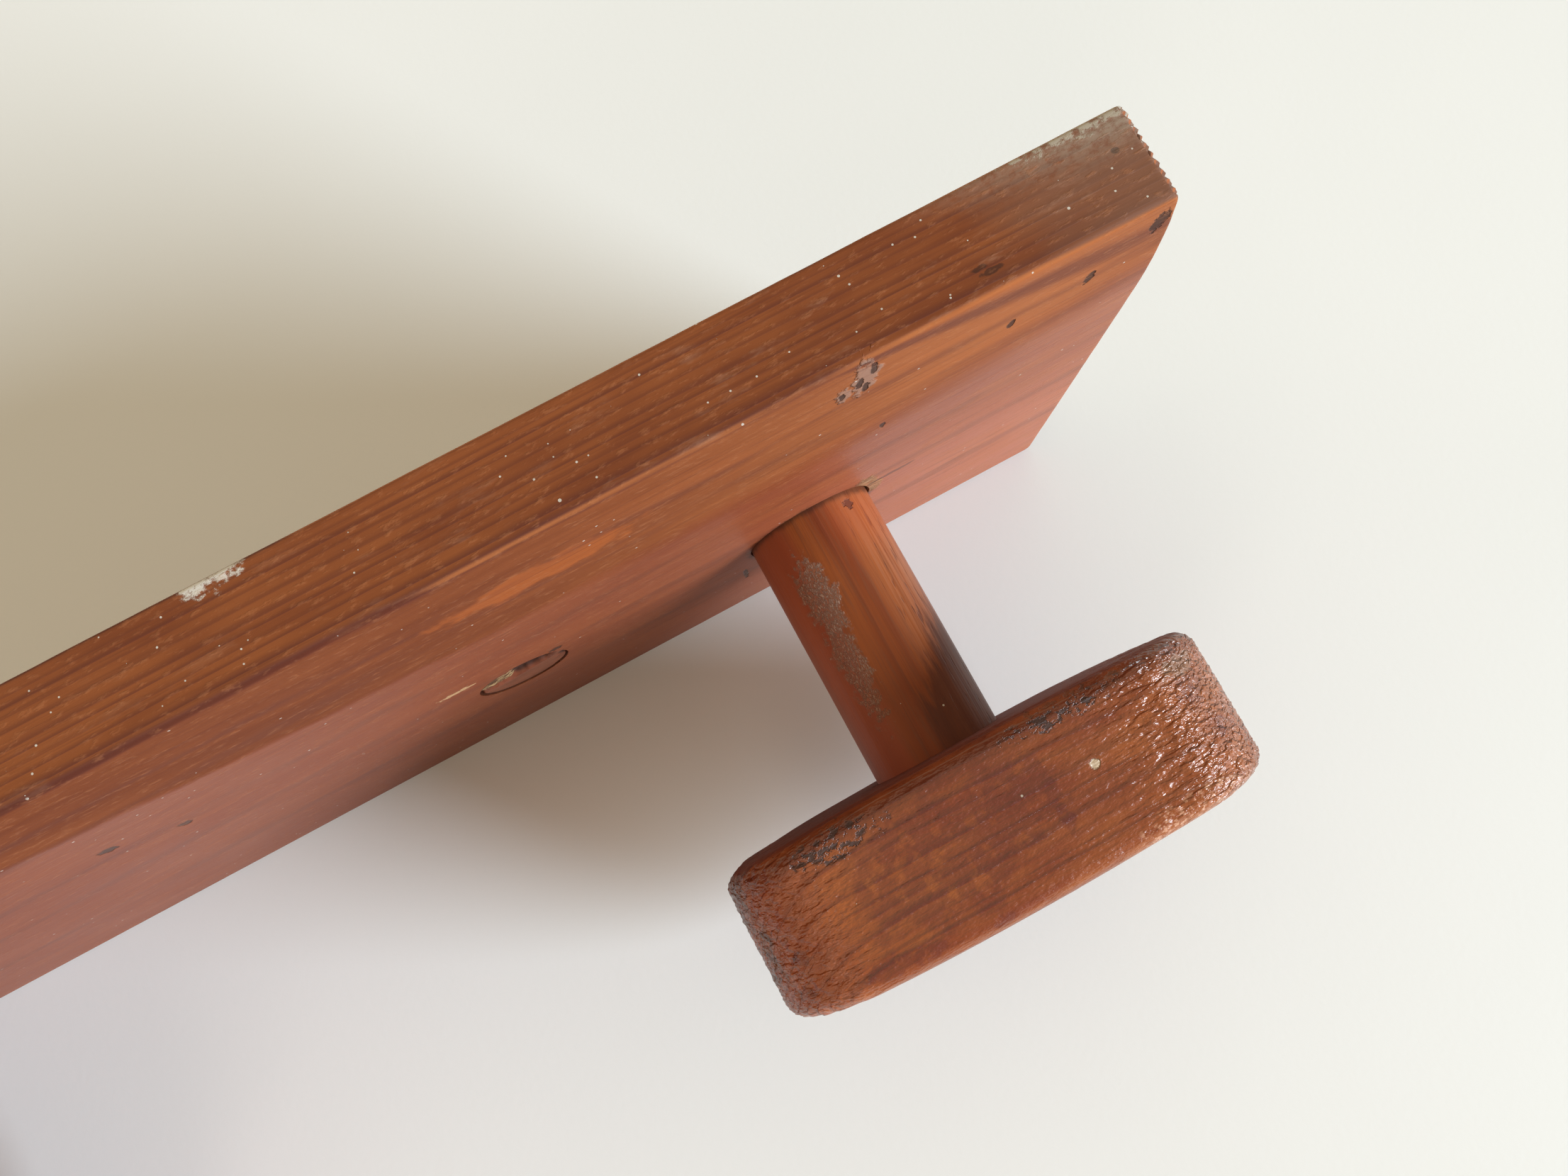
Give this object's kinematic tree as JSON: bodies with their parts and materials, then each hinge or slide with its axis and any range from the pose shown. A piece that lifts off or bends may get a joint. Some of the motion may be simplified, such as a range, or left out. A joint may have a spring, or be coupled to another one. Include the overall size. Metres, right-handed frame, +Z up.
{
  "type": "wall coat rack",
  "caption": "Long varnished wooden wall board with round dowel pegs ending in rounded T-shaped cross heads, screwed to a wall through plugged holes.",
  "frame": {"origin": "centre of the board's back face, which lies against the wall", "axes": "+X along the board to the right as seen from the room, +Y into the wall, so the pegs point along -Y, +Z up"},
  "size_m": [0.8, 0.093, 0.123],
  "materials": {
    "board_wood": "satin reddish-brown varnish over plain-sawn pine",
    "dowel_wood": "satin orange-brown varnish, straight grain",
    "head_wood": "worn satin reddish-brown varnish",
    "plug_wood": "reddish-brown varnish, chipped to raw wood at one side",
    "screw_steel": "zinc-plated steel"
  },
  "bodies": {
    "root": {"backboard": "board_wood", "peg_dowel_1": "dowel_wood", "peg_dowel_2": "dowel_wood", "peg_dowel_3": "dowel_wood", "peg_dowel_4": "dowel_wood", "peg_head_1": "head_wood", "peg_head_2": "head_wood", "peg_head_3": "head_wood", "peg_head_4": "head_wood", "peg_screws": "screw_steel", "screw_plug_left": "plug_wood", "screw_plug_right": "plug_wood"}
  },
  "joints": []
}
